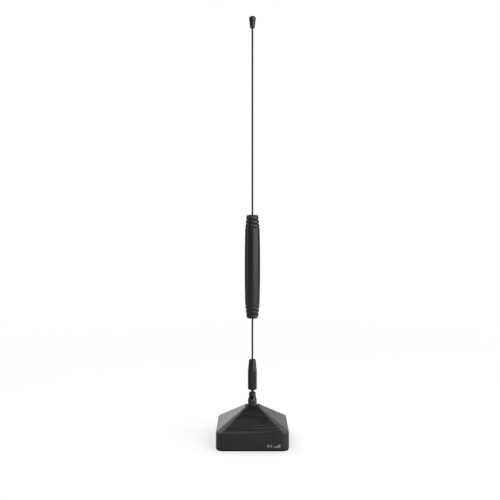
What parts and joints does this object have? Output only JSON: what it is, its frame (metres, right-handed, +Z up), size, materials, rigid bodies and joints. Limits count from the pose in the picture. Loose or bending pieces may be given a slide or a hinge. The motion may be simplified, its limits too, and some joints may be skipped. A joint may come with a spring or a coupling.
{
  "type": "table antenna",
  "caption": "Single loaded whip antenna on a tilting fork hinge, standing on a square weighted foot with a pyramid roof.",
  "frame": {"origin": "centre of the foot's underside, on the surface it stands on", "axes": "+Z up along the upright whip, -Y towards the front wall, +X to the right as seen from the front; the cable bushing is in the rear wall, +Y"},
  "size_m": [0.08, 0.08, 0.4768],
  "materials": {
    "black_plastic": "satin",
    "black_metal": "satin",
    "pad_rubber": "matte",
    "bright_steel": "satin",
    "brass": "satin",
    "copper": "gloss",
    "ferrite": "matte",
    "circuit_board": "satin",
    "chip_ceramic": "satin",
    "nylon": "satin",
    "wire_insulation": "satin"
  },
  "bodies": {
    "foot": {"foot_pad": "pad_rubber", "base_cover": "black_plastic", "base_plate": "black_plastic", "plate_screw_1": "bright_steel", "plate_screw_2": "bright_steel", "plate_screw_3": "bright_steel", "plate_screw_4": "bright_steel", "magnet_ring": "ferrite", "pole_cup": "bright_steel", "matching_board": "circuit_board", "board_screw_1": "bright_steel", "board_screw_2": "bright_steel", "transformer_core": "ferrite", "transformer_winding": "copper", "chip_capacitor_1": "chip_ceramic", "chip_capacitor_2": "chip_ceramic", "cable_gland": "pad_rubber", "contact_lug": "brass", "feed_wire": "wire_insulation"},
    "turret": {"foot_washer": "nylon", "fork": "black_metal", "wave_washer": "bright_steel", "stud_nut": "bright_steel", "pivot_screw": "black_metal", "pivot_nut": "black_metal"},
    "whip": {"hinge_tongue": "black_metal", "whip_ferrule": "black_metal", "lower_rod": "black_metal", "upper_rod": "black_metal", "tip_cap": "black_plastic", "grip_sleeve": "black_plastic", "coil_former": "nylon", "loading_coil": "copper", "coil_bush_upper": "brass", "coil_bush_lower": "brass", "grip_plug_upper": "black_plastic", "grip_plug_lower": "black_plastic"}
  },
  "joints": [
    {"name": "fork_swivel", "type": "hinge", "parent": "foot", "child": "turret", "pos_m": [0, 0, 0.0397], "axis": [0, 0, 1], "continuous": true},
    {"name": "whip_tilt", "type": "hinge", "parent": "turret", "child": "whip", "pos_m": [0, 0, 0.05164], "axis": [1, 0, 0], "range_deg": [-90, 90]}
  ]
}
